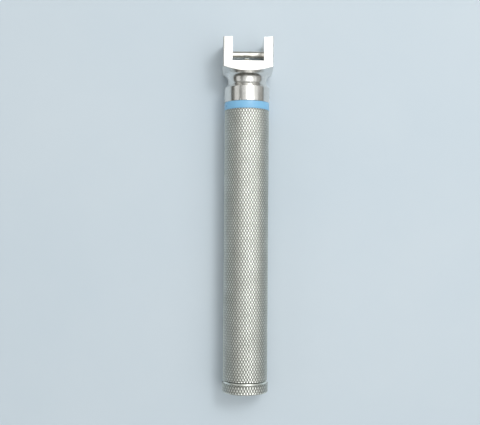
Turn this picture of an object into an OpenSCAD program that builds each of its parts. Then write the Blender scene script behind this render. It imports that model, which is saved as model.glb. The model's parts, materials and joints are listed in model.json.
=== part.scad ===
// Hook-on laryngoscope handle, the slim kind that holds two AA cells.
// Each piece is drawn as it is turned on a lathe: axis along +Z, base of the end cap at z = 0,
// blade side towards +Y. lay() then puts the whole handle down along +Y, head at +Y,
// with the flat blade side of the fork and the rim of the cap on the ground.

/* [Handle] */
// Length from the base of the end cap to the tips of the fork
handle_len = 150; // [150:1:156]
// Diameter over the knurling of the barrel
barrel_d = 19; // [18.6:0.1:19.2]
// Bore of the barrel
bore_d = 16.2; // [16.0:0.1:16.4]
// Length of the coloured ring under the head
id_ring_len = 3.2; // [2.6:0.1:4]
// Diameter of the coloured ring
id_ring_d = 19.2; // [19.0:0.1:19.4]

/* [Head] */
// Width across the two arms of the fork
fork_w = 21.1; // [20.5:0.1:22]
// Distance from the handle's axis to the rear face of the fork
fork_rear = 10.5; // [10:0.1:11]
// Width of the slot between the arms
slot_w = 13.25; // [13:0.05:13.5]
// Depth of the slot, from the tips of the arms to its floor
slot_depth = 10; // [9.5:0.5:10.5]
// Diameter of the collar under the neck
collar_d = 19.3; // [19:0.1:19.4]
// Length of the collar
collar_len = 6.5; // [6:0.1:7]
// Distance from the tips of the arms to the top of the collar
head_len = 20; // [19.8:0.1:20.4]
// Diameter of the neck where it is slimmest
neck_d = 16.5; // [16.3:0.1:16.7]
// Radius of the hollow that runs round the neck, from the collar to the flare
neck_hollow_r = 3.4; // [3.35:0.05:3.6]
// Angle of the flare under the fork, from the handle's axis
flare_angle = 67; // [65:1:69]
// Distance from the tips of the arms to the flare's edge, at the middle of the rear face
flare_drop = 14.2; // [14:0.1:14.5]
// Rounding of the fork's upright edges
fork_edge_r = 0.5; // [0.3:0.1:0.8]
// Length of the stem that screws into the barrel
stem_len = 7.5; // [7:0.1:7.6]

/* [Hook bar and contact] */
// Diameter of the bar that the blade hooks on
bar_d = 3.2; // [3:0.1:3.4]
// Height of the bar's centre above the floor of the slot
bar_height = 6; // [5.5:0.1:6.5]
// Distance from the handle's axis to the bar's centre
bar_offset = 6.9; // [6.5:0.1:7.2]
// Diameter of the two recesses that catch the blade's side balls
catch_d = 2; // [1.6:0.1:2.4]
// Depth of those recesses
catch_depth = 0.8; // [0.5:0.1:1.2]
// Height of the recesses above the floor of the slot
catch_height = 7; // [6.5:0.1:7.5]
// Diameter of the domed contact pin
pin_d = 3.2; // [3:0.1:3.4]
// How far the contact pin stands above the floor of the slot
pin_height = 3.2; // [3:0.1:3.6]
// How far the contact pin can be pressed in
pin_travel = 2; // [1.5:0.1:2.2]

/* [End cap] */
// Diameter of the cap's knurled rim
cap_d = 19.5; // [19.4:0.1:19.6]
// Height of the knurled rim
cap_rim_h = 4.1; // [3.8:0.1:4.4]
// Height of the smooth lip between the rim and the barrel
cap_lip_h = 1; // [0.8:0.1:1.2]
// Diameter of the smooth lip
cap_lip_d = 18.4; // [18:0.1:18.6]
// Length of the cap's threaded spigot
spigot_len = 7.4; // [7:0.1:8]
// Thickness of the cap's floor
cap_floor = 2.6; // [2.4:0.1:2.8]

/* [Cells] */
// Length of an AA cell over its positive nub
cell_len = 50.5; // [49.5:0.1:50.5]
// Diameter of an AA cell over its jacket
cell_d = 14.5; // [13.8:0.1:14.5]
// Diameter of a cell's positive nub
nub_d = 5.5; // [5:0.1:5.5]

/* [Hidden] */
$fn = 96;
// Gap between flat faces of pieces that move apart
gap = 0.05;
// Radial clearance of a running fit
run = 0.06;
// Overcut, so that a cut passes clean through a face
eps = 1;
// Small chamfer on turned edges
edge = 0.3;
// Distance from the axis to the face that lies on the ground, the same as the cap's rim
blade_side = cap_d / 2;

// Heights along the handle's axis
barrel_bottom = cap_rim_h + cap_lip_h;
spigot_top = barrel_bottom + spigot_len;
seat_t = 0.5;
seat_bottom = cap_floor + gap;
spring_bottom = seat_bottom + seat_t;
snap_ring_low = spring_bottom + gap;
snap_ring_t = 0.6;
// the spring's last coil stands a little above the spigot
spring_top = spigot_top + 3 * gap;
cell_2_base = spring_top + gap;
cell_1_base = cell_2_base + cell_len + gap;
contact_bottom = cell_1_base + cell_len + gap;
contact_disc_t = 1.25;
slot_floor = handle_len - slot_depth;
collar_top = handle_len - head_len;
collar_bottom = collar_top - collar_len;
barrel_top = collar_bottom - id_ring_len;
stem_bottom = barrel_top - stem_len;
retainer_len = 4.7;
retainer_bottom = contact_bottom + contact_disc_t;
retainer_top = retainer_bottom + retainer_len;
bush_neck_len = 9;
bush_shoulder = slot_floor - bush_neck_len;
bush_ceiling_t = 1;
bush_ceiling = bush_shoulder - bush_ceiling_t;
bush_proud = 0.2;
liner_end_gap = 0.3;
liner_bottom = spigot_top + liner_end_gap;
liner_top = stem_bottom - liner_end_gap;

// Radii
bore_r = bore_d / 2;
collar_r = collar_d / 2;
stem_r = bore_r;
liner_fit = 0.1;
liner_r = bore_r - liner_fit;
liner_wall = 0.5;
spigot_r = bore_r - run;
cap_bore_r = 6.6;
seat_r = 6.3;
snap_ring_r = 6.85;
snap_ring_in_r = 5.95;
snap_ring_opening = 3;
cap_spring_low_r = 5.6;
cap_spring_high_r = 4.1;
cap_spring_wire = 0.7;
bush_small_r = 3;
bush_big_r = 4.5;
bush_cavity_r = 3.2;
contact_spring_r = 2.7;
contact_spring_wire = 0.6;
pin_r = pin_d / 2;
flange_r = 2.9;
flange_t = 1.25;
guide_r = 1.2;
guide_len = 3 * pin_travel;
stud_r = 1.5;
contact_disc_r = 3.6;

// Sealing rings and their grooves
oring_r = 0.44;
oring_play = 0.02;
oring_groove_h = 1.4;
oring_groove_r = bore_r - 2 * oring_r - run;
oring_mid_r = oring_groove_r + oring_r + oring_play;
head_groove_top = barrel_top - 2;
head_groove_low = head_groove_top - oring_groove_h;
cap_groove_low = barrel_bottom + 0.5;

// Cells
jacket_t = 0.15;
can_r = cell_d / 2 - jacket_t;
can_t = 0.25;
can_lift = 0.2;
nub_h = 1.2;
base_r = 5;
seal_r = 6.3;
seal_t = 0.5;
shoulder_h = cell_len - nub_h;

// Puts a piece drawn on the lathe axis down on the ground.
module lay() {
    translate([0, -handle_len / 2, blade_side])
        rotate([-90, 0, 0])
            children();
}

// A turned tube between two heights.
module tube(r_out, r_in, z_low, z_high) {
    translate([0, 0, z_low])
        difference() {
            cylinder(r = r_out, h = z_high - z_low);
            translate([0, 0, -eps])
                cylinder(r = r_in, h = z_high - z_low + 2 * eps);
        }
}

// A turned disc between two heights.
module disc(r, z_low, z_high) {
    translate([0, 0, z_low])
        cylinder(r = r, h = z_high - z_low);
}

// A ring of round section.
module o_ring(r_mid, z_mid) {
    rotate_extrude()
        translate([r_mid, z_mid])
            circle(r = oring_r);
}

// Points on an arc between two angles.
function arc(centre, r, from, to, steps = 24) =
    [for (i = [0:steps]) let (a = from + (to - from) * i / steps) centre + r * [cos(a), sin(a)]];

// Outline of the head as it is turned: stem, collar, neck, and the flare under the fork.
module head_outline() {
    wide_r = fork_w;
    rise = 1 / tan(flare_angle);
    flare_z = handle_len - flare_drop;
    mid_r = neck_d / 2 + neck_hollow_r;
    mid_z = flare_z + rise * (mid_r - fork_rear) - neck_hollow_r / sin(flare_angle);
    foot_angle = asin((mid_z - collar_top) / neck_hollow_r);
    polygon(concat(
        [[0, stem_bottom], [stem_r, stem_bottom], [stem_r, collar_bottom],
            [collar_r - edge, collar_bottom], [collar_r, collar_bottom + edge],
            [collar_r, collar_top - edge]],
        arc([mid_r, mid_z], neck_hollow_r, 180 + foot_angle, 180 - flare_angle),
        [[wide_r, flare_z + rise * (wide_r - fork_rear)], [wide_r, handle_len], [0, handle_len]]
    ));
}

// Plan of the fork: a rectangle with rounded corners.
module fork_plan() {
    half_w = fork_w / 2;
    r = fork_edge_r;
    translate([-half_w + r, -fork_rear])
        square([fork_w - 2 * r, fork_rear + blade_side]);
    translate([-half_w, -fork_rear + r])
        square([fork_w, fork_rear + blade_side - 2 * r]);
    for (x = [-1, 1], y = [-fork_rear + r, blade_side - r])
        translate([x * (half_w - r), y])
            circle(r = r);
}

module head_fork() color("silver") lay() {
    difference() {
        intersection() {
            rotate_extrude() head_outline();
            translate([0, 0, stem_bottom - eps])
                linear_extrude(handle_len + eps) fork_plan();
        }
        // slot for the blade
        translate([-slot_w / 2, -fork_w, slot_floor])
            cube([slot_w, 2 * fork_w, slot_depth + eps]);
        // stepped bore for the contact's bush
        disc(bush_small_r, bush_shoulder - eps, slot_floor + eps);
        disc(bush_big_r, stem_bottom - eps, bush_shoulder);
        // hole for the hook bar
        translate([-fork_w, bar_offset, slot_floor + bar_height])
            rotate([0, 90, 0])
                cylinder(d = bar_d, h = 2 * fork_w);
        // recesses for the blade's side balls
        translate([-slot_w / 2 - catch_depth, 0, slot_floor + catch_height])
            rotate([0, 90, 0])
                cylinder(d = catch_d, h = slot_w + 2 * catch_depth);
        // groove for the sealing ring
        tube(stem_r + eps, oring_groove_r, head_groove_low, head_groove_top);
    }
}

module hook_bar() color("gainsboro") lay() {
    translate([-fork_w / 2, bar_offset, slot_floor + bar_height])
        rotate([0, 90, 0])
            cylinder(d = bar_d, h = fork_w);
}

module contact_bush() color("ivory") lay() {
    difference() {
        union() {
            disc(bush_big_r, retainer_top, bush_shoulder);
            disc(bush_small_r, bush_shoulder - edge, slot_floor + bush_proud);
        }
        disc(bush_cavity_r, retainer_top - eps, bush_ceiling);
        disc(pin_r + run, bush_ceiling - eps, slot_floor + eps);
    }
}

module contact_pin() color("gold") lay() {
    flange_top = bush_ceiling - gap;
    flange_bottom = flange_top - flange_t;
    dome_z = slot_floor + pin_height - pin_r;
    union() {
        disc(pin_r, flange_top - flange_t / 2, dome_z);
        translate([0, 0, dome_z]) sphere(r = pin_r);
        disc(flange_r, flange_bottom, flange_top);
        disc(guide_r, flange_bottom - guide_len, flange_top - flange_t / 2);
    }
}

module contact_spring() color("lightsteelblue") lay() {
    tube(contact_spring_r, contact_spring_r - contact_spring_wire,
        retainer_top + gap, bush_ceiling - flange_t - 2 * gap);
}

module contact_retainer() color("ivory") lay() {
    tube(bush_big_r, stud_r, retainer_bottom, retainer_top);
}

module battery_contact() color("gold") lay() {
    union() {
        disc(contact_disc_r, contact_bottom, retainer_bottom);
        disc(stud_r, contact_bottom + edge, retainer_top);
    }
}

module id_ring() color([0.5, 0.72, 0.9]) lay() {
    ring_r = id_ring_d / 2;
    rotate_extrude()
        polygon([[stem_r + gap, barrel_top], [ring_r - edge, barrel_top],
            [ring_r, barrel_top + edge], [ring_r, collar_bottom - edge],
            [ring_r - edge, collar_bottom], [stem_r + gap, collar_bottom]]);
}

module head_o_ring() color([0.12, 0.12, 0.12]) lay() {
    o_ring(oring_mid_r, head_groove_low + oring_groove_h / 2);
}

module barrel() color("darkgray") lay() {
    barrel_r = barrel_d / 2;
    rotate_extrude()
        polygon([[bore_r + edge, barrel_bottom], [barrel_r - edge, barrel_bottom],
            [barrel_r, barrel_bottom + edge], [barrel_r, barrel_top],
            [bore_r, barrel_top], [bore_r, barrel_bottom + edge]]);
}

module battery_liner() color("whitesmoke") lay() {
    tube(liner_r, liner_r - liner_wall, liner_bottom, liner_top);
}

// The five pieces of a cell, with the cell's base at the height z.
module cell_can(z) color("lightgray") lay() {
    translate([0, 0, z])
        difference() {
            union() {
                disc(can_r, can_lift, shoulder_h);
                disc(nub_d / 2, shoulder_h - can_t, cell_len);
            }
            disc(can_r - can_t, seal_t, shoulder_h - can_t);
            disc(seal_r, -eps, seal_t + eps);
        }
}

module cell_core(z) color("black") lay() {
    disc(can_r - can_t, z + seal_t, z + shoulder_h - can_t);
}

module cell_jacket(z) color("darkslategray") lay() {
    tube(cell_d / 2, can_r, z + can_lift + 0.1, z + shoulder_h - 0.2);
}

module cell_seal(z) color("dimgray") lay() {
    tube(seal_r, base_r, z + seal_t / 2, z + seal_t);
}

module cell_base(z) color("silver") lay() {
    disc(base_r, z, z + seal_t);
}

module end_cap() color("darkgray") lay() {
    rim_r = cap_d / 2;
    lip_r = cap_lip_d / 2;
    difference() {
        rotate_extrude()
            polygon([[0, 0], [rim_r - 2 * edge, 0], [rim_r, 2 * edge], [rim_r, cap_rim_h - edge],
                [rim_r - edge, cap_rim_h], [lip_r, cap_rim_h], [lip_r, barrel_bottom - edge],
                [lip_r - edge, barrel_bottom - gap], [spigot_r, barrel_bottom - gap],
                [spigot_r, spigot_top - edge], [spigot_r - edge, spigot_top], [0, spigot_top]]);
        disc(cap_bore_r, cap_floor, spigot_top + eps);
        tube(spigot_r + eps, oring_groove_r, cap_groove_low, cap_groove_low + oring_groove_h);
        disc(snap_ring_r, snap_ring_low, snap_ring_low + snap_ring_t);
    }
}

module cap_o_ring() color([0.12, 0.12, 0.12]) lay() {
    o_ring(oring_mid_r, cap_groove_low + oring_groove_h / 2);
}

module cap_spring() color("lightsteelblue") lay() {
    rotate_extrude()
        polygon([[cap_spring_low_r - cap_spring_wire, spring_bottom],
            [cap_spring_low_r, spring_bottom], [cap_spring_high_r, spring_top],
            [cap_spring_high_r - cap_spring_wire, spring_top]]);
}

module spring_seat() color("gold") lay() {
    disc(seat_r, seat_bottom, spring_bottom);
}

module snap_ring() color("dimgray") lay() {
    difference() {
        tube(snap_ring_r, snap_ring_in_r, snap_ring_low, snap_ring_low + snap_ring_t);
        // opening that lets the ring be squeezed
        translate([-snap_ring_opening / 2, 0, snap_ring_low - eps])
            cube([snap_ring_opening, snap_ring_r + eps, snap_ring_t + 2 * eps]);
    }
}

head_fork();
hook_bar();
contact_bush();
contact_pin();
contact_spring();
contact_retainer();
battery_contact();
id_ring();
head_o_ring();
barrel();
battery_liner();
cell_can(cell_1_base);  // cell_1_can
cell_core(cell_1_base);  // cell_1_core
cell_jacket(cell_1_base);  // cell_1_jacket
cell_seal(cell_1_base);  // cell_1_seal
cell_base(cell_1_base);
cell_can(cell_2_base);  // cell_2_can
cell_core(cell_2_base);  // cell_2_core
cell_jacket(cell_2_base);  // cell_2_jacket
cell_seal(cell_2_base);  // cell_2_seal
cell_base(cell_2_base);
end_cap();
cap_o_ring();
cap_spring();
spring_seat();
snap_ring();
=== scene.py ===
"""Looks of a hook-on laryngoscope handle that lies on its blade side, in metres."""

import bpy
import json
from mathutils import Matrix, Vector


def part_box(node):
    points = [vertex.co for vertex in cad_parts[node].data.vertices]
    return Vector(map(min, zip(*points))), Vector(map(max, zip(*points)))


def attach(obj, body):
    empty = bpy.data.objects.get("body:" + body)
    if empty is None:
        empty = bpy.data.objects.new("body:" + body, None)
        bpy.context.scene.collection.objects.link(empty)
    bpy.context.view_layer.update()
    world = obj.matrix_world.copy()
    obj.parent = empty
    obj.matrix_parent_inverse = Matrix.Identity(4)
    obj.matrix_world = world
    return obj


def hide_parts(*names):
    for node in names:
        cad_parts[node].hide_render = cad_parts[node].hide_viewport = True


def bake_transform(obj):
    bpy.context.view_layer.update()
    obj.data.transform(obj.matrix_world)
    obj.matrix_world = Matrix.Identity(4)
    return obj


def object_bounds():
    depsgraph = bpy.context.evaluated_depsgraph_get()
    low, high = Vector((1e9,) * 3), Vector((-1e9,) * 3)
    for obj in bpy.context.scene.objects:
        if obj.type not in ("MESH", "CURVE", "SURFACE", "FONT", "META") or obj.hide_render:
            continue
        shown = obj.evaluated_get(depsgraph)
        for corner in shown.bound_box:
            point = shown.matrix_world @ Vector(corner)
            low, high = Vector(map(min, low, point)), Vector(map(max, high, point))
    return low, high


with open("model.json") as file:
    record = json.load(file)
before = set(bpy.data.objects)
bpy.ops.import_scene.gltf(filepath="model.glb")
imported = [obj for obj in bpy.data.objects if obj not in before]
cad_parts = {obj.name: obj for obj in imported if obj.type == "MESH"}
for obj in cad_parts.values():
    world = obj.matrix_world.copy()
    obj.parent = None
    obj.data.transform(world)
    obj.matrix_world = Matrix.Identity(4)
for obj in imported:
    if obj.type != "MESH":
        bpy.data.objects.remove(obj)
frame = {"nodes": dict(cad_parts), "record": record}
cad_bounds = [list(corner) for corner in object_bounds()]

import json
from math import acos, asin, atan2, cos, hypot, pi, radians, sin, tan

import bmesh
import bpy
from mathutils import Euler, Matrix, Vector

MM = 0.001

# the handle's axis runs along +Y, from the end cap to the fork
cap_low, cap_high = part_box("end_cap")
AXIS_Z = (cap_low.z + cap_high.z) / 2
AROUND = 96

# knurling and threads; the flat is the share of a diamond that its top takes
KNURL_PITCH = 2.154 * MM
KNURL_DEPTH = 0.2 * MM
KNURL_FLAT = 0.5
CAP_THREAD = 1.0 * MM

# the head, measured from the tips of its arms and from the handle's axis
SLOT_HALF = 6.625 * MM
COLLAR_R = 9.65 * MM
COLLAR_DROP = 20 * MM
NECK_R = 8.25 * MM
HOLLOW_R = 3.4 * MM
FLARE_ANGLE = radians(67)
FLARE_DROP = 14.2 * MM
FORK_REAR = 10.5 * MM
FORK_EDGE = 0.5 * MM
CATCH_R = 1 * MM
CATCH_DEPTH = 0.8 * MM
CATCH_HEIGHT = 7 * MM

# the contact and its bush, measured from the slot's floor
BUSH_R = 3 * MM
BUSH_BIG_R = 4.5 * MM
BUSH_CAVITY_R = 3.2 * MM
BUSH_NECK = 9 * MM
BUSH_CEILING = 10 * MM
BUSH_PROUD = 0.2 * MM
PIN_R = 1.6 * MM
PIN_GUIDE_R = 1.2 * MM
PIN_FLANGE_T = 1.25 * MM

# walls of the barrel and of the coloured ring
BARREL_WALL = 1.4 * MM
RING_WALL = 1.4 * MM

# the end cap
CAP_RIM_H = 4.1 * MM
CAP_LIP_R = 9.2 * MM
CAP_FACE_R = 7.6 * MM

# an AA cell
NUB_R = 2.75 * MM
NUB_H = 1.2 * MM
SEAL_R = 6.3 * MM
SEAL_T = 0.5 * MM


def span(node):
    """Start and end of a turned node along the axis, and its outer radius."""
    low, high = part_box(node)
    return low.y, high.y, (high.x - low.x) / 2


def slot_floor():
    """Where the floor of the fork's slot lies along the axis."""
    return span("contact_bush")[1] - BUSH_PROUD


# ---------------------------------------------------------------- mesh building


class Shape:
    """Points and faces of a piece that is turned about the handle's axis."""

    def __init__(self, count=AROUND):
        self.count = count
        self.points = []
        self.faces = []
        self.tones = []

    def point(self, y, radius, angle, tone=1.0):
        self.points.append((radius * cos(angle), y, AXIS_Z + radius * sin(angle)))
        self.tones.append(tone)
        return len(self.points) - 1

    def ring(self, y, radius, tone=1.0):
        if radius <= 0:
            return [self.point(y, 0, 0, tone)]
        step = 2 * pi / self.count
        return [self.point(y, radius, i * step, tone) for i in range(self.count)]

    def skin(self, a, b):
        """Faces between two rings; a ring of one point is a pole."""
        for i in range(self.count):
            j = (i + 1) % self.count
            if len(a) == 1:
                self.faces.append((a[0], b[i], b[j]))
            elif len(b) == 1:
                self.faces.append((a[i], a[j], b[0]))
            else:
                self.faces.append((a[i], a[j], b[j], b[i]))

    def skins(self, rings):
        for a, b in zip(rings, rings[1:]):
            self.skin(a, b)

    def lathe(self, outline, closed=False):
        """Turns an outline of (y, radius) or (y, radius, tone) points."""
        rings = [self.ring(*p) for p in outline]
        self.skins(rings + rings[:1] if closed else rings)
        return rings

    def build(self, name, sharp=32):
        mesh = bpy.data.meshes.new(name)
        mesh.from_pydata(self.points, [], self.faces)
        tone = mesh.attributes.new("tone", "FLOAT", "POINT")
        tone.data.foreach_set("value", self.tones)
        return finish_mesh(name, mesh, sharp)


def finish_mesh(name, mesh, sharp):
    """Outward normals, smooth shading with crisp edges, and an object for the mesh."""
    bm = bmesh.new()
    bm.from_mesh(mesh)
    bmesh.ops.recalc_face_normals(bm, faces=bm.faces)
    bm.to_mesh(mesh)
    bm.free()
    mesh.shade_smooth()
    mesh.set_sharp_from_angle(angle=radians(sharp))
    piece = bpy.data.objects.new(name, mesh)
    bpy.context.scene.collection.objects.link(piece)
    return piece


def rounded(corners, steps=4):
    """An outline whose corners (y, radius, fillet) are rounded with arcs."""
    out = []
    last = len(corners) - 1
    for i, (y, r, fillet) in enumerate(corners):
        here = Vector((y, r))
        if fillet <= 0 or i in (0, last):
            out.append((y, r))
            continue
        back = (Vector(corners[i - 1][:2]) - here).normalized()
        on = (Vector(corners[i + 1][:2]) - here).normalized()
        half = back.angle(on) / 2
        reach = fillet / tan(half)
        centre = here + (back + on).normalized() * fillet / sin(half)
        start = here + back * reach - centre
        end = here + on * reach - centre
        turn = start.angle(end)
        for k in range(steps + 1):
            t = k / steps
            blend = (start * sin((1 - t) * turn) + end * sin(t * turn)) / sin(turn)
            out.append(tuple(centre + blend))
    return out


def knurl(shape, y_low, y_high, r_low, r_high):
    """A band of raised diamonds. Its starts are half the shape's count around.

    Returns its first and last rings, which lie at the bottom of the grooves.
    """
    count = shape.count
    rows = round((y_high - y_low) / (KNURL_PITCH / 2))
    step_y = (y_high - y_low) / rows
    step_a = 2 * pi / count
    low = {}
    for j in range(rows + 1):
        for i in range(count):
            on_end = j in (0, rows)
            # groove points carry a tone of 0, which the knurled plate paints dark as shade
            if (i + j) % 2 == 0 or on_end:
                low[i, j] = shape.point(y_low + j * step_y, r_low, i * step_a, 0.0)
    for j in range(rows + 1):
        for i in range(count):
            if (i + j) % 2:
                diamond(shape, low, i, j, rows, (y_low, step_y, step_a, r_high))
    first = [low[i, 0] for i in range(count)]
    last = [low[i, rows] for i in range(count)]
    return first, last


def diamond(shape, low, i, j, rows, lattice):
    """One diamond, or half of one where the band ends."""
    y_low, step_y, step_a, r_high = lattice
    count, flat = shape.count, KNURL_FLAT
    ways = [(1, 0), (0, 1), (-1, 0), (0, -1)]
    if j == 0:
        ways = [(1, 0), (0, 1), (-1, 0)]
    if j == rows:
        ways = [(-1, 0), (0, -1), (1, 0)]
    feet = [low[(i + a) % count, j + b] for a, b in ways]
    tops = [
        shape.point(y_low + (j + b * flat) * step_y, r_high, (i + a * flat) * step_a)
        for a, b in ways
    ]
    n = len(ways)
    whole = n == 4
    for k in range(n if whole else n - 1):
        m = (k + 1) % n
        shape.faces.append((feet[k], feet[m], tops[m], tops[k]))
    shape.faces.append(tuple(tops))
    if not whole:
        shape.faces.append((feet[0], tops[0], tops[-1], feet[-1], low[i, j]))


def thread(shape, y_low, y_high, r_root, r_crest):
    """A screw thread as a grid of rings whose radius follows the helix."""
    rows_per_turn = 10
    # the flanks rise from a flat root to a flat crest
    steepness, root = 1.7, 0.25
    rows = round((y_high - y_low) / CAP_THREAD * rows_per_turn)
    rings = []
    for j in range(rows + 1):
        y = y_low + (y_high - y_low) * j / rows
        fade = min(1, j / rows_per_turn, (rows - j) / rows_per_turn)
        ring = []
        for i in range(shape.count):
            phase = ((y - y_low) / CAP_THREAD - i / shape.count) % 1
            rise = min(1, max(0, steepness * (1 - abs(2 * phase - 1)) - root)) * fade
            angle = 2 * pi * i / shape.count
            # the rise is also the tone, so the thread's roots are painted dark as shade by the
            # knurled plate
            ring.append(shape.point(y, r_root + (r_crest - r_root) * rise, angle, rise))
        rings.append(ring)
    shape.skins(rings)
    return rings


def helix(name, y_low, y_high, r_low, r_high, wire, turns):
    """A compression spring with closed ends, from the radii of its coils."""
    sides, per_turn = 10, 40
    # turns that lie flat against each seat, and how the wire thins to its ground end
    dead, end_share, end_turns = 0.8, 0.45, 0.3
    total = int(turns * per_turn)
    bm = bmesh.new()
    rings = []
    for k in range(total + 1):
        turn = k / per_turn
        t = min(1, max(0, (turn - dead) / (turns - 2 * dead)))
        y = y_low + wire / 2 + (y_high - y_low - wire) * t
        r = r_low + (r_high - r_low) * t
        angle = 2 * pi * turn
        thick = wire / 2 * min(1, end_share + min(k, total - k) / (end_turns * per_turn))
        ring = []
        for s in range(sides):
            a = 2 * pi * s / sides
            rr = r + thick * cos(a)
            ring.append(bm.verts.new((rr * cos(angle), y + thick * sin(a), AXIS_Z + rr * sin(angle))))
        rings.append(ring)
    for a, b in zip(rings, rings[1:]):
        for s in range(sides):
            m = (s + 1) % sides
            bm.faces.new((a[s], a[m], b[m], b[s]))
    bm.faces.new(rings[0])
    bm.faces.new(rings[-1])
    mesh = bpy.data.meshes.new(name)
    bm.to_mesh(mesh)
    bm.free()
    return finish_mesh(name, mesh, 50)


def box_piece(low, high):
    """A plain box as a cutter."""
    bm = bmesh.new()
    bmesh.ops.create_cube(bm, size=1)
    for v in bm.verts:
        v.co = [low[k] + (v.co[k] + 0.5) * (high[k] - low[k]) for k in range(3)]
    mesh = bpy.data.meshes.new("cutter")
    bm.to_mesh(mesh)
    bm.free()
    return finish_mesh("cutter", mesh, 30)


def cross_cylinder(y, z, radius, x_low, x_high, count=48):
    """A cylinder across the handle, as a cutter."""
    bm = bmesh.new()
    bmesh.ops.create_cone(
        bm, cap_ends=True, segments=count, radius1=radius, radius2=radius, depth=x_high - x_low
    )
    for v in bm.verts:
        v.co = ((x_low + x_high) / 2 + v.co.z, y + v.co.x, z + v.co.y)
    mesh = bpy.data.meshes.new("cutter")
    bm.to_mesh(mesh)
    bm.free()
    return finish_mesh("cutter", mesh, 30)


def carve(piece, cutter, operation):
    """Applies one exact boolean and removes the cutter."""
    modifier = piece.modifiers.new("carve", "BOOLEAN")
    modifier.operation = operation
    modifier.solver = "EXACT"
    modifier.object = cutter
    bake(piece)
    bpy.data.objects.remove(cutter)


def bake(piece):
    """Turns the modifiers' result into the piece's own mesh."""
    depsgraph = bpy.context.evaluated_depsgraph_get()
    mesh = bpy.data.meshes.new_from_object(piece.evaluated_get(depsgraph))
    piece.modifiers.clear()
    piece.data = mesh


def soften(piece, width):
    """Rounds every sharp edge a little, as polishing does, and keeps flat faces flat."""
    merge_flat_faces(piece.data)
    modifier = piece.modifiers.new("bevel", "BEVEL")
    modifier.width = width
    modifier.segments = 3
    modifier.limit_method = "ANGLE"
    modifier.angle_limit = radians(30)
    bake(piece)
    frame_flat_faces(piece.data)
    piece.data.shade_smooth()
    weighted = piece.modifiers.new("normals", "WEIGHTED_NORMAL")
    weighted.weight = 90
    bake(piece)


def merge_flat_faces(mesh):
    """One face for each flat surface, with no strips left over from the cuts."""
    bm = bmesh.new()
    bm.from_mesh(mesh)
    bmesh.ops.remove_doubles(bm, verts=bm.verts, dist=0.002 * MM)
    bmesh.ops.dissolve_limit(bm, angle_limit=radians(0.2), verts=bm.verts, edges=bm.edges)
    bm.to_mesh(mesh)
    bm.free()


def frame_flat_faces(mesh, least=3 * MM * MM, inset=0.06 * MM):
    """A narrow border inside each large flat face, so that its shading stays even."""
    bm = bmesh.new()
    bm.from_mesh(mesh)
    large = [f for f in bm.faces if f.calc_area() > least and len(f.verts) > 4]
    bmesh.ops.inset_individual(bm, faces=large, thickness=inset, use_even_offset=True)
    bmesh.ops.triangulate(bm, faces=[f for f in bm.faces if len(f.verts) > 4])
    bm.to_mesh(mesh)
    bm.free()


# ------------------------------------------------------------------- materials


def new_material(name, colour, metallic, roughness):
    """A material with a Principled shader whose even values sit on its own sockets."""
    material = bpy.data.materials.new(name)
    material.use_nodes = True
    shader = material.node_tree.nodes["Principled BSDF"]
    shader.inputs["Base Color"].default_value = (*colour, 1)
    shader.inputs["Metallic"].default_value = metallic
    shader.inputs["Roughness"].default_value = roughness
    return material, shader


def add(material, kind, **values):
    """A node with its inputs set by name."""
    node = material.node_tree.nodes.new(kind)
    for key, value in values.items():
        node.inputs[key.replace("_", " ")].default_value = value
    return node


def join(material, source, target):
    material.node_tree.links.new(source, target)


def place(material, scale):
    """Object coordinates scaled by a vector, so that lines can run along one axis."""
    coords = add(material, "ShaderNodeTexCoord")
    mapping = add(material, "ShaderNodeMapping", Scale=scale)
    join(material, coords.outputs["Object"], mapping.inputs["Vector"])
    return mapping.outputs["Vector"]


def grain(material, scale, detail=4.0):
    """Noise from 0 to 1; scale is its frequency along each axis, per metre."""
    noise = add(material, "ShaderNodeTexNoise", Scale=1.0, Detail=detail, Roughness=0.6)
    join(material, place(material, scale), noise.inputs["Vector"])
    return noise.outputs["Fac"]


def spread(material, value, low, high, start=0.3, end=0.7):
    """Maps a value from start..end onto low..high."""
    node = add(material, "ShaderNodeMapRange")
    node.inputs["From Min"].default_value = start
    node.inputs["From Max"].default_value = end
    node.inputs["To Min"].default_value = low
    node.inputs["To Max"].default_value = high
    join(material, value, node.inputs["Value"])
    return node.outputs["Result"]


def two_tone(material, fac, a, b):
    """A colour between a and b."""
    mix = material.node_tree.nodes.new("ShaderNodeMix")
    mix.data_type = "RGBA"
    mix.inputs["A"].default_value = (*a, 1)
    mix.inputs["B"].default_value = (*b, 1)
    join(material, fac, mix.inputs["Factor"])
    return mix.outputs["Result"]


def times(material, a, b):
    node = material.node_tree.nodes.new("ShaderNodeMath")
    node.operation = "MULTIPLY"
    join(material, a, node.inputs[0])
    join(material, b, node.inputs[1])
    return node.outputs[0]


def tint(material, shader, cloud, a, b, start=0.3, end=0.7):
    """A base colour that drifts between a and b."""
    colour = two_tone(material, spread(material, cloud, 0, 1, start, end), a, b)
    join(material, colour, shader.inputs["Base Color"])


def polish(material, shader, value, low, high, start=0.3, end=0.7):
    """A roughness that drifts between low and high."""
    join(material, spread(material, value, low, high, start, end), shader.inputs["Roughness"])


def relief(material, shader, height, depth, strength):
    """Bump from a height of 0 to 1 that stands for a real depth in metres."""
    bump = add(material, "ShaderNodeBump", Strength=strength, Distance=depth)
    join(material, height, bump.inputs["Height"])
    join(material, bump.outputs["Normal"], shader.inputs["Normal"])


def tone_of(material):
    node = material.node_tree.nodes.new("ShaderNodeAttribute")
    node.attribute_name = "tone"
    return node.outputs["Fac"]


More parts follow.
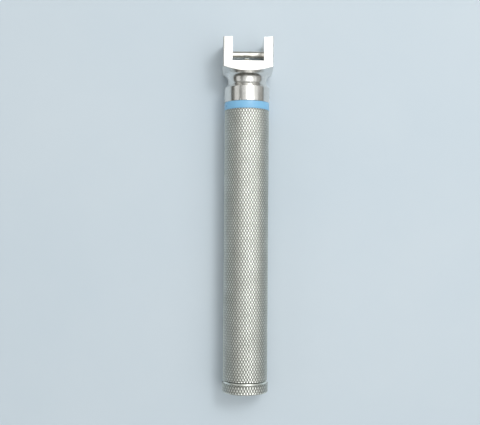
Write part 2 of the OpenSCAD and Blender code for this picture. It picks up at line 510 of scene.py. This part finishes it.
def polished_plate():
    """Satin nickel plate with fine turning lines and faint handling marks."""
    material, shader = new_material("polished_plate", (0.8, 0.79, 0.77), 1.0, 0.2)
    cloud = grain(material, (140, 140, 140), 5)
    lines = grain(material, (60, 9000, 60), 2)
    marks = grain(material, (2600, 500, 2600), 3)
    tint(material, shader, cloud, (0.7, 0.69, 0.66), (0.84, 0.83, 0.81))
    polish(material, shader, times(material, cloud, marks), 0.17, 0.3, 0.15, 0.4)
    relief(material, shader, lines, 0.002 * MM, 0.5)
    return material


def knurled_plate():
    """Satin nickel over knurling: the grooves and thread roots are darkened as painted shade, and the
    tips are worn bright.
    """
    material, shader = new_material("knurled_plate", (0.7, 0.69, 0.66), 1.0, 0.3)
    tone = tone_of(material)
    cloud = grain(material, (160, 160, 160), 4)
    grit = grain(material, (5000, 5000, 5000), 3)
    worn = two_tone(material, spread(material, cloud, 0, 1), (0.74, 0.76, 0.71), (0.86, 0.88, 0.83))
    # the dark colour at tone 0 is painted shade in the grooves and thread roots; the tips keep the
    # plate's worn colour
    mix = material.node_tree.nodes.new("ShaderNodeMix")
    mix.data_type = "RGBA"
    mix.inputs["A"].default_value = (0.2, 0.2, 0.18, 1)
    join(material, worn, mix.inputs["B"])
    join(material, tone, mix.inputs["Factor"])
    join(material, mix.outputs["Result"], shader.inputs["Base Color"])
    polish(material, shader, times(material, tone, cloud), 0.42, 0.32, 0.0, 0.6)
    relief(material, shader, grit, 0.004 * MM, 0.5)
    return material


def bar_steel():
    """Ground and polished steel, with grinding lines round the bar."""
    material, shader = new_material("bar_steel", (0.78, 0.77, 0.74), 1.0, 0.14)
    lines = grain(material, (14000, 300, 300), 2)
    cloud = grain(material, (900, 300, 300), 4)
    tint(material, shader, cloud, (0.7, 0.68, 0.62), (0.84, 0.83, 0.8))
    polish(material, shader, cloud, 0.1, 0.22)
    relief(material, shader, lines, 0.0015 * MM, 0.5)
    return material


def contact_metal():
    """Nickel-plated brass that shows a little yellow where it is worn."""
    material, shader = new_material("contact_metal", (0.82, 0.79, 0.7), 1.0, 0.2)
    cloud = grain(material, (700, 700, 700), 4)
    lines = grain(material, (900, 16000, 900), 2)
    tint(material, shader, cloud, (0.82, 0.76, 0.64), (0.88, 0.87, 0.84), 0.35, 0.65)
    polish(material, shader, cloud, 0.3, 0.14)
    relief(material, shader, lines, 0.002 * MM, 0.5)
    return material


def spring_steel():
    """Drawn wire with die lines and a thin film of oil."""
    material, shader = new_material("spring_steel", (0.6, 0.61, 0.62), 1.0, 0.25)
    cloud = grain(material, (800, 800, 800), 4)
    tint(material, shader, cloud, (0.44, 0.44, 0.45), (0.7, 0.7, 0.71))
    polish(material, shader, cloud, 0.34, 0.18)
    relief(material, shader, grain(material, (9000, 9000, 9000), 2), 0.002 * MM, 0.4)
    return material


def cell_steel():
    """Nickel-plated can of a cell, drawn lengthwise, with faint stains."""
    material, shader = new_material("cell_steel", (0.66, 0.66, 0.65), 1.0, 0.25)
    cloud = grain(material, (500, 500, 500), 4)
    draw = grain(material, (9000, 300, 9000), 2)
    tint(material, shader, cloud, (0.52, 0.52, 0.5), (0.74, 0.74, 0.73))
    polish(material, shader, cloud, 0.32, 0.2)
    relief(material, shader, draw, 0.002 * MM, 0.4)
    return material


def plastic(name, a, b, roughness, depth):
    """Turned or moulded plastic: slight mottling, a soft sheen and fine tool marks."""
    material, shader = new_material(name, a, 0.0, roughness)
    cloud = grain(material, (300, 300, 300), 4)
    tint(material, shader, cloud, a, b)
    polish(material, shader, cloud, roughness - 0.06, roughness + 0.08)
    relief(material, shader, grain(material, (1500, 9000, 1500), 3), depth, 0.5)
    return material


def blue_ring():
    """Even blue with a fine satin grain and a thin clear coat."""
    material, shader = new_material("blue_ring", (0.3, 0.6, 0.88), 0.0, 0.32)
    cloud = grain(material, (260, 260, 260), 4)
    tint(material, shader, cloud, (0.24, 0.57, 0.9), (0.29, 0.63, 0.93))
    polish(material, shader, cloud, 0.26, 0.4)
    shader.inputs["Coat Weight"].default_value = 0.15
    shader.inputs["Coat Roughness"].default_value = 0.3
    relief(material, shader, grain(material, (700, 12000, 700), 2), 0.002 * MM, 0.5)
    return material


def cell_jacket():
    """Shrunk film in two plain colours, with a narrow pale line between them."""
    material, shader = new_material("cell_jacket", (0.03, 0.05, 0.06), 0.0, 0.25)
    tone = tone_of(material)
    ramp = material.node_tree.nodes.new("ShaderNodeValToRGB")
    ramp.color_ramp.interpolation = "CONSTANT"
    stops = ramp.color_ramp.elements
    stops[0].color = (0.03, 0.11, 0.09, 1)
    stops[1].position = 0.7
    stops[1].color = (0.6, 0.6, 0.58, 1)
    stops.new(0.715).color = (0.33, 0.36, 0.34, 1)
    join(material, tone, ramp.inputs["Fac"])
    join(material, ramp.outputs["Color"], shader.inputs["Base Color"])
    cloud = grain(material, (180, 180, 180), 4)
    polish(material, shader, cloud, 0.18, 0.34)
    shader.inputs["Coat Weight"].default_value = 0.5
    shader.inputs["Coat Roughness"].default_value = 0.08
    relief(material, shader, grain(material, (500, 120, 500), 3), 0.02 * MM, 0.3)
    return material


def floor_paper():
    """Plain pale sheet with a very fine tooth."""
    material, shader = new_material("floor_paper", (0.7, 0.78, 0.84), 0.0, 0.7)
    cloud = grain(material, (9, 9, 9), 4)
    tint(material, shader, cloud, (0.66, 0.76, 0.84), (0.7, 0.79, 0.86))
    relief(material, shader, grain(material, (2500, 2500, 2500), 3), 0.02 * MM, 0.3)
    return material


def insulator():
    """Warm white moulding round the contact."""
    return plastic("insulator", (0.72, 0.68, 0.58), (0.8, 0.77, 0.68), 0.4, 0.003 * MM)


def liner_plastic():
    """Thin white tube round the cells."""
    return plastic("liner_plastic", (0.8, 0.79, 0.75), (0.86, 0.85, 0.82), 0.45, 0.004 * MM)


def seal_rubber():
    """Black rubber of the sealing rings."""
    return plastic("seal_rubber", (0.012, 0.012, 0.013), (0.03, 0.03, 0.03), 0.42, 0.006 * MM)


def cell_seal():
    """Dark plastic ring round a cell's base."""
    return plastic("cell_seal", (0.03, 0.03, 0.035), (0.06, 0.06, 0.065), 0.45, 0.004 * MM)


def cell_core():
    """Black filling of a cell."""
    return plastic("cell_core", (0.01, 0.01, 0.01), (0.04, 0.04, 0.04), 0.7, 0.02 * MM)


MATERIALS = {
    make.__name__: make()
    for make in (
        polished_plate, knurled_plate, bar_steel, contact_metal, spring_steel, insulator,
        liner_plastic, blue_ring, seal_rubber, cell_steel, cell_jacket, cell_seal, cell_core,
    )
}
SLOT_OF = {s["node"]: s["material_slot"] for s in frame["record"]["subparts"]}


def dress(piece, node):
    """Gives a new piece the material of the slot of the CAD node that it stands for, and hides that
    node.
    """
    slot = SLOT_OF[node]
    piece.data.materials.clear()
    piece.data.materials.append(MATERIALS[slot])
    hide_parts(node)
    return piece


# ---------------------------------------------------------------------- pieces

def make_barrel():
    """Knurled tube with a chamfered end and an inside thread for the cap."""
    y0, y1, r = span("barrel")
    liner_fit = 0.1 * MM
    bore = span("battery_liner")[2] + liner_fit
    valley = r - KNURL_DEPTH
    shape = Shape()
    first, last = knurl(shape, y0 + 0.25 * MM, y1 - 0.05 * MM, valley, r)
    foot = [shape.ring(y0, valley - 0.35 * MM), shape.ring(y0, bore + 0.5 * MM)]
    inside = thread(shape, y0 + 0.3 * MM, y0 + 9 * MM, bore + 0.35 * MM, bore + 0.02 * MM)
    head = [shape.ring(y1, bore), shape.ring(y1, valley)]
    shape.skins([first] + foot + [inside[0]])
    shape.skins([inside[-1]] + head + [last])
    piece = shape.build("barrel_tube", 70)
    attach(dress(piece, "barrel"), "handle")


def cap_neck(rim_top, shoulder_y, valley, spigot_r):
    """Outline from the cap's rim over the smooth lip to the groove of the seal."""
    groove_r = spigot_r - 0.88 * MM
    groove_y0, groove_y1 = shoulder_y + 0.5 * MM, shoulder_y + 1.9 * MM
    tiny, small = 0.05 * MM, 0.1 * MM
    return rounded([
        (rim_top, valley - 0.15 * MM, 0), (rim_top, CAP_LIP_R, small),
        (shoulder_y - 0.3 * MM, CAP_LIP_R, 0.25 * MM), (shoulder_y - tiny, spigot_r, tiny),
        (groove_y0, spigot_r, tiny), (groove_y0, groove_r, small),
        (groove_y1, groove_r, small), (groove_y1, spigot_r, tiny),
        (shoulder_y + 2.1 * MM, spigot_r - 0.25 * MM, 0),
    ])


def cap_cup(shape, y1, spigot_r):
    """Rings from the spigot's tip down the cup, past the snap ring's groove, to its floor."""
    cup_r = span("spring_seat")[2] + 0.3 * MM
    floor_y = span("spring_seat")[0] - 0.05 * MM
    ring_low, ring_high, ring_r = span("snap_ring")
    groove_r = ring_r + 0.02 * MM
    return [
        shape.ring(y, r) for y, r in (
            (y1, spigot_r - 0.7 * MM), (y1, cup_r + 0.2 * MM), (y1 - 0.2 * MM, cup_r),
            (ring_high, cup_r), (ring_high, groove_r), (ring_low, groove_r),
            (ring_low, cup_r), (floor_y, cup_r), (floor_y, 0),
        )
    ]


def make_end_cap():
    """Knurled rim, turned face, smooth lip, threaded spigot and the cup for the spring."""
    y0, y1, r = span("end_cap")
    shoulder_y = span("barrel")[0]
    spigot_r = span("cap_o_ring")[2]
    rim_top = y0 + CAP_RIM_H
    valley = r - KNURL_DEPTH
    shape = Shape()
    first, last = knurl(shape, y0 + 0.55 * MM, rim_top - 0.1 * MM, valley, r)
    step_y, small = y0 + 0.12 * MM, 0.1 * MM
    face = rounded([
        (y0 + 0.5 * MM, valley, 0), (y0, valley - small, 0.3 * MM), (y0, CAP_FACE_R, small),
        (step_y, CAP_FACE_R - 0.15 * MM, small), (step_y, 0, 0),
    ])
    shape.skins([first] + [shape.ring(*p) for p in face])
    neck = [shape.ring(*p) for p in cap_neck(rim_top, shoulder_y, valley, spigot_r)]
    root_r = spigot_r - 0.55 * MM
    outer = thread(shape, shoulder_y + 2.3 * MM, y1 - 0.2 * MM, root_r, spigot_r)
    shape.skins([last] + neck + [outer[0]])
    shape.skins([outer[-1]] + cap_cup(shape, y1, spigot_r))
    piece = shape.build("screw_cap", 70)
    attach(dress(piece, "end_cap"), "cap")


def fork_plan():
    """Plan of the fork about the axis, (x, z) points from a rectangle with rounded corners."""
    low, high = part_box("head_fork")
    left, right = low.x + FORK_EDGE, high.x - FORK_EDGE
    under, rear = low.z - AXIS_Z + FORK_EDGE, high.z - AXIS_Z - FORK_EDGE
    corners = [(right, rear, 0), (left, rear, 90), (left, under, 180), (right, under, 270)]
    points = []
    for k, (x, z, start) in enumerate(corners):
        for turn in range(0, 91, 15):
            angle = radians(start + turn)
            points.append((x + FORK_EDGE * cos(angle), z + FORK_EDGE * sin(angle)))
        # along the side up to the next corner, with even steps of angle
        end = radians(start + 90)
        next_x, next_z, _ = corners[(k + 1) % 4]
        a = Vector((x + FORK_EDGE * cos(end), z + FORK_EDGE * sin(end)))
        b = Vector((next_x + FORK_EDGE * cos(end), next_z + FORK_EDGE * sin(end)))
        steps = 40
        for i in range(1, steps):
            t = 0.5 + 0.5 * tan(pi / 4 * (2 * i / steps - 1))
            points.append(tuple(a.lerp(b, t)))
    return points


def bend(start, corner, end, steps):
    """Points on a smooth bend from start to end that is tangent to both lines at corner."""
    a, b, c = Vector(start), Vector(corner), Vector(end)
    out = []
    for i in range(steps + 1):
        t = i / steps
        out.append(tuple(a * (1 - t) ** 2 + b * 2 * t * (1 - t) + c * t**2))
    return out


def neck_hollow():
    """Centre of the hollow round the neck, and the angle from its middle to its foot."""
    tip_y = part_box("head_fork")[1].y
    mid_r = NECK_R + HOLLOW_R
    flare_y = tip_y - FLARE_DROP + (mid_r - FORK_REAR) / tan(FLARE_ANGLE)
    mid_y = flare_y - HOLLOW_R / sin(FLARE_ANGLE)
    return mid_y, mid_r, asin((mid_y - tip_y + COLLAR_DROP) / HOLLOW_R)


def stem_outline(y0, ring_y1, stem_r):
    """The stem with its thread relief and sealing groove, then the collar."""
    seal_low, seal_high, _ = span("head_o_ring")
    seal_y = (seal_low + seal_high) / 2
    half_groove, seat_r = 0.7 * MM, stem_r - 0.9 * MM
    mid_y, mid_r, foot = neck_hollow()
    foot_y, foot_r = mid_y - HOLLOW_R * sin(foot), mid_r - HOLLOW_R * cos(foot)
    collar_y = foot_y - (COLLAR_R - foot_r) / tan(foot)
    return rounded([
        (y0, 0, 0), (y0, stem_r - 0.4 * MM, 0), (y0 + 0.4 * MM, stem_r, 0),
        (seal_y - half_groove, stem_r, 0), (seal_y - half_groove, seat_r, 0),
        (seal_y + half_groove, seat_r, 0), (seal_y + half_groove, stem_r, 0),
        (ring_y1, stem_r, 0), (ring_y1, COLLAR_R, 0.2 * MM), (collar_y, COLLAR_R, 0.3 * MM),
        (foot_y, foot_r, 0),
    ], 6)


def flare_outline(reach, tip_y):
    """Hollow neck, flare and wall of the fork, where the wall stands at a distance from the axis."""
    mid_y, mid_r, foot = neck_hollow()
    turned = HOLLOW_R * FLARE_ANGLE

    def at(path):
        """The point at a path length up from the slimmest place, and the slope there."""
        angle = min(path / HOLLOW_R, FLARE_ANGLE)
        over = max(0, path - turned)
        y = mid_y + HOLLOW_R * sin(angle) + over * cos(FLARE_ANGLE)
        return y, mid_r - HOLLOW_R * cos(angle) + over * sin(FLARE_ANGLE), angle

    over = reach - at(turned)[1]
    if over > 0:
        end = turned + over / sin(FLARE_ANGLE)
    else:
        end = HOLLOW_R * acos((mid_r - reach) / HOLLOW_R)
    steps = 12
    soft = 0.1 * MM
    out = [at(-HOLLOW_R * foot * (1 - i / steps))[:2] for i in range(1, steps)]
    out += [at((end - soft) * i / steps)[:2] for i in range(steps)]
    y, r, slope = at(end - soft)
    edge_y = y + (reach - r) / tan(slope)
    out += bend((y, r), (edge_y, reach), (edge_y + soft, reach), 5)
    return out + [(edge_y + 2 * soft, reach), (tip_y, reach)]


def head_blank():
    """The head before it is slotted and drilled, as rings that follow the fork's plan."""
    low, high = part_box("head_fork")
    plan = fork_plan()
    angles = [atan2(z, x) for x, z in plan]
    reaches = [hypot(x, z) for x, z in plan]
    shape = Shape(len(plan))
    stem = stem_outline(low.y, span("id_ring")[1], span("barrel")[2] - BARREL_WALL)
    rings = [[shape.point(low.y, 0, 0)]]
    rings += [[shape.point(y, r, a) for a in angles] for y, r in stem[1:]]
    walls = [flare_outline(reach, high.y) for reach in reaches]
    for k in range(len(walls[0])):
        rings.append([shape.point(*wall[k], a) for wall, a in zip(walls, angles)])
    rings.append([shape.point(high.y, 0, 0)])
    shape.skins(rings)
    return shape.build("head_fork_body", 25)


def make_head():
    """Fork, neck and collar: a turned blank, milled to a block, slotted and drilled."""
    low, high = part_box("head_fork")
    bar_low, bar_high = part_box("hook_bar")
    slot_y = slot_floor()
    piece = head_blank()
    slot = box_piece(
        (-SLOT_HALF, slot_y, low.z - MM), (SLOT_HALF, high.y + MM, high.z + MM)
    )
    carve(piece, slot, "DIFFERENCE")
    bore = Shape(64)
    step_y = slot_y - BUSH_NECK
    bore.lathe([
        (low.y - MM, 0), (low.y - MM, BUSH_BIG_R), (step_y, BUSH_BIG_R),
        (step_y, BUSH_R), (slot_y + MM, BUSH_R), (slot_y + MM, 0),
    ])
    carve(piece, bore.build("cutter"), "DIFFERENCE")
    bar_y, bar_z = (bar_low.y + bar_high.y) / 2, (bar_low.z + bar_high.z) / 2
    bar_r = (bar_high.y - bar_low.y) / 2
    hole = cross_cylinder(bar_y, bar_z, bar_r, low.x - MM, high.x + MM)
    carve(piece, hole, "DIFFERENCE")
    catch = SLOT_HALF + CATCH_DEPTH
    recess = cross_cylinder(slot_y + CATCH_HEIGHT, AXIS_Z, CATCH_R, -catch, catch, 32)
    carve(piece, recess, "DIFFERENCE")
    soften(piece, 0.25 * MM)
    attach(dress(piece, "head_fork"), "handle")


def make_bar():
    """Cross bar with polished, slightly rounded ends."""
    low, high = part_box("hook_bar")
    y, z, r = (low.y + high.y) / 2, (low.z + high.z) / 2, (high.y - low.y) / 2
    shape = Shape(64)
    shape.lathe(rounded([(low.x, 0, 0), (low.x, r, 0.2 * MM), (high.x, r, 0.2 * MM), (high.x, 0, 0)]))
    # turned about the handle's axis, then stood across it
    shape.points = [(p[1], y + p[0], z + p[2] - AXIS_Z) for p in shape.points]
    piece = shape.build("cross_bar")
    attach(dress(piece, "hook_bar"), "handle")


def make_contact():
    """Domed contact pin with its flange and guide."""
    y0, y1, flange_r = span("contact_pin")
    dome_y = y1 - PIN_R
    flange_y = slot_floor() - BUSH_CEILING - 0.05 * MM
    low_y = flange_y - PIN_FLANGE_T
    outline = rounded([
        (y0, 0, 0), (y0, PIN_GUIDE_R, 0.3 * MM), (low_y, PIN_GUIDE_R, 0),
        (low_y, flange_r, 0.15 * MM), (flange_y, flange_r, 0.15 * MM),
        (flange_y, PIN_R, 0), (dome_y, PIN_R, 0),
    ])
    steps = 10
    for k in range(1, steps):
        turn = k * pi / 2 / steps
        outline.append((dome_y + PIN_R * sin(turn), PIN_R * cos(turn)))
    outline.append((y1 - 0.02 * MM, 0))
    shape = Shape(48)
    shape.lathe(outline)
    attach(dress(shape.build("contact_plunger"), "contact_pin"), "contact")


def make_bush():
    """Insulating bush with a chamfered lip in the slot's floor."""
    y0, y1, big_r = span("contact_bush")
    shoulder_y = slot_floor() - BUSH_NECK
    ceiling_y = slot_floor() - BUSH_CEILING
    hole = PIN_R + 0.06 * MM
    small = 0.1 * MM
    shape = Shape(64)
    shape.lathe(rounded([
        (y0, big_r, 0), (shoulder_y, big_r, small), (shoulder_y, BUSH_R, small),
        (y1, BUSH_R, 0.15 * MM), (y1, hole + 0.2 * MM, small), (y1 - 0.3 * MM, hole, small),
        (ceiling_y, hole, 0), (ceiling_y, BUSH_CAVITY_R, 0), (y0, BUSH_CAVITY_R, 0),
    ]), closed=True)
    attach(dress(shape.build("insulating_bush"), "contact_bush"), "handle")


def make_ring():
    """Coloured ring with softly rounded edges."""
    y0, y1, r = span("id_ring")
    inner, soft = r - RING_WALL, 0.25 * MM
    shape = Shape(144)
    shape.lathe(rounded([
        (y0, inner, 0), (y0, r, soft), (y1, r, soft), (y1, inner, 0),
    ]), closed=True)
    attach(dress(shape.build("blue_band"), "id_ring"), "handle")


def make_contact_spring():
    """Coil between the retainer and the pin's flange."""
    y0, y1, r = span("contact_spring")
    wire = 0.5 * MM
    coil_r = r - wire / 2
    piece = dress(helix("contact_coil", y0, y1, coil_r, coil_r, wire, 9), "contact_spring")
    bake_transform(piece)


def make_cap_spring():
    """Conical coil between the seat in the cap and the lower cell."""
    y0, y1, r = span("cap_spring")
    wire, taper = 0.7 * MM, 1.5 * MM
    coil_r = r - wire / 2
    piece = dress(helix("cap_coil", y0, y1, coil_r, coil_r - taper, wire, 5), "cap_spring")
    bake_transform(piece)


def make_can(name):
    """Steel can of a cell with its nub."""
    y0, y1, r = span(f"{name}_can")
    seal_y = span(f"{name}_base")[0] + SEAL_T
    shoulder = y1 - NUB_H
    can = Shape()
    can.lathe(rounded([
        (seal_y, SEAL_R, 0), (y0, SEAL_R + 0.05 * MM, 0), (y0, r, 0.35 * MM),
        (shoulder, r, 0.6 * MM), (shoulder, NUB_R, 0.25 * MM), (y1, NUB_R, 0.3 * MM),
        (y1, 0, 0),
    ]))
    can.skins([can.ring(seal_y, 0), list(range(AROUND))])
    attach(dress(can.build(f"{name}_shell"), f"{name}_can"), name)


def make_film(name):
    """Printed film of a cell, without lettering; its tone runs along the cell for the bands."""
    y0, y1, r = span(f"{name}_jacket")
    can_r = span(f"{name}_can")[2]
    corners = rounded([
        (y0, can_r, 0), (y0, r, 0.1 * MM), (y1, r, 0.12 * MM), (y1, can_r, 0),
    ])
    rings = 24
    steps = [y0 + (y1 - y0) * k / rings for k in range(1, rings)]
    middle = len(corners) // 2
    outline = corners[:middle] + [(y, r) for y in steps] + corners[middle:]
    film = Shape()
    film.lathe([(y, q, (y - y0) / (y1 - y0)) for y, q in outline], closed=True)
    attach(dress(film.build(f"{name}_film"), f"{name}_jacket"), name)


def dress_cad_nodes():
    """CAD nodes whose shape is right keep it and get their material."""
    for node in (
        "contact_retainer", "battery_contact", "head_o_ring", "battery_liner", "cap_o_ring",
        "spring_seat", "snap_ring", "cell_1_seal", "cell_2_seal", "cell_1_base", "cell_2_base",
        "cell_1_core", "cell_2_core",
    ):
        mesh = frame["nodes"][node].data
        mesh.materials.clear()
        mesh.materials.append(MATERIALS[SLOT_OF[node]])


# ----------------------------------------------------------------------- stage


def make_floor():
    """Plain pale floor under the handle."""
    reach = 3.0
    ground_z = cad_bounds[0][2]
    bm = bmesh.new()
    corners = [(-reach, -reach), (reach, -reach), (reach, reach), (-reach, reach)]
    bm.faces.new([bm.verts.new((x, y, ground_z)) for x, y in corners])
    mesh = bpy.data.meshes.new("floor")
    bm.to_mesh(mesh)
    bm.free()
    floor = bpy.data.objects.new("floor", mesh)
    bpy.context.scene.collection.objects.link(floor)
    mesh.materials.append(floor_paper())


def add_light(name, across, along, size, power):
    """A soft rectangular light that faces the handle's middle, at angles off the upright.

    The angles are in degrees and the size is across and along the handle.
    """
    far = 0.9
    data = bpy.data.lights.new(name, "AREA")
    data.shape = "RECTANGLE"
    data.size, data.size_y = size
    data.energy = power
    light = bpy.data.objects.new(name, data)
    back = Vector((tan(radians(across)), tan(radians(along)), 1)).normalized()
    side = Vector((0, 1, 0)).cross(back).normalized()
    turn = Matrix((side, back.cross(side), back)).transposed()
    light.matrix_world = Matrix.Translation(back * far) @ turn.to_4x4()
    light.visible_camera = False
    bpy.context.scene.collection.objects.link(light)


def make_lights():
    """A long key light a little to the right, a broad pale ceiling, and weaker lights round it."""
    add_light("key", 14, 10, (0.62, 1.3), 2.7)
    add_light("ceiling", 14, 4, (1.5, 1.7), 3.3)
    add_light("window", 18, 22, (0.2, 0.2), 1.3)
    add_light("side", 62, 5, (0.7, 1.2), 0.6)
    add_light("fill", -55, 5, (0.4, 1.1), 0.8)


def make_room():
    """A pale room, lighter overhead and beyond the fork, and dim towards the end cap."""
    world = bpy.data.worlds.new("room")
    bpy.context.scene.world = world
    world.use_nodes = True
    nodes, links = world.node_tree.nodes, world.node_tree.links
    coords = nodes.new("ShaderNodeTexCoord")
    toward = nodes.new("ShaderNodeVectorMath")
    toward.operation = "DOT_PRODUCT"
    toward.inputs[1].default_value = Vector((0.1, 0.5, 0.85)).normalized()
    ramp = nodes.new("ShaderNodeValToRGB")
    links.new(coords.outputs["Generated"], toward.inputs[0])
    links.new(toward.outputs["Value"], ramp.inputs["Fac"])
    links.new(ramp.outputs["Color"], nodes["Background"].inputs["Color"])
    stops = ramp.color_ramp.elements
    stops[0].position, stops[0].color = 0.0, (0.1, 0.1, 0.09, 1)
    stops[1].position, stops[1].color = 0.8, (0.3, 0.31, 0.3, 1)


def make_camera():
    """Camera almost straight above the handle, a little to its left."""
    height = 0.3615
    camera_data = bpy.data.cameras.new("camera")
    camera_data.lens = 61.5
    camera = bpy.data.objects.new("camera", camera_data)
    camera.location = (-0.0151, -0.0058, height)
    camera.rotation_euler = Euler((radians(1.18), radians(-2.04), radians(0.44)))
    bpy.context.scene.collection.objects.link(camera)
    bpy.context.scene.camera = camera


make_camera()
make_barrel()
make_end_cap()
make_head()
make_bar()
make_contact()
make_bush()
make_ring()
make_contact_spring()
make_cap_spring()
for cell in ("cell_1", "cell_2"):
    make_can(cell)
    make_film(cell)
dress_cad_nodes()
make_floor()
make_lights()
make_room()
bpy.context.scene.view_settings.view_transform = "Standard"
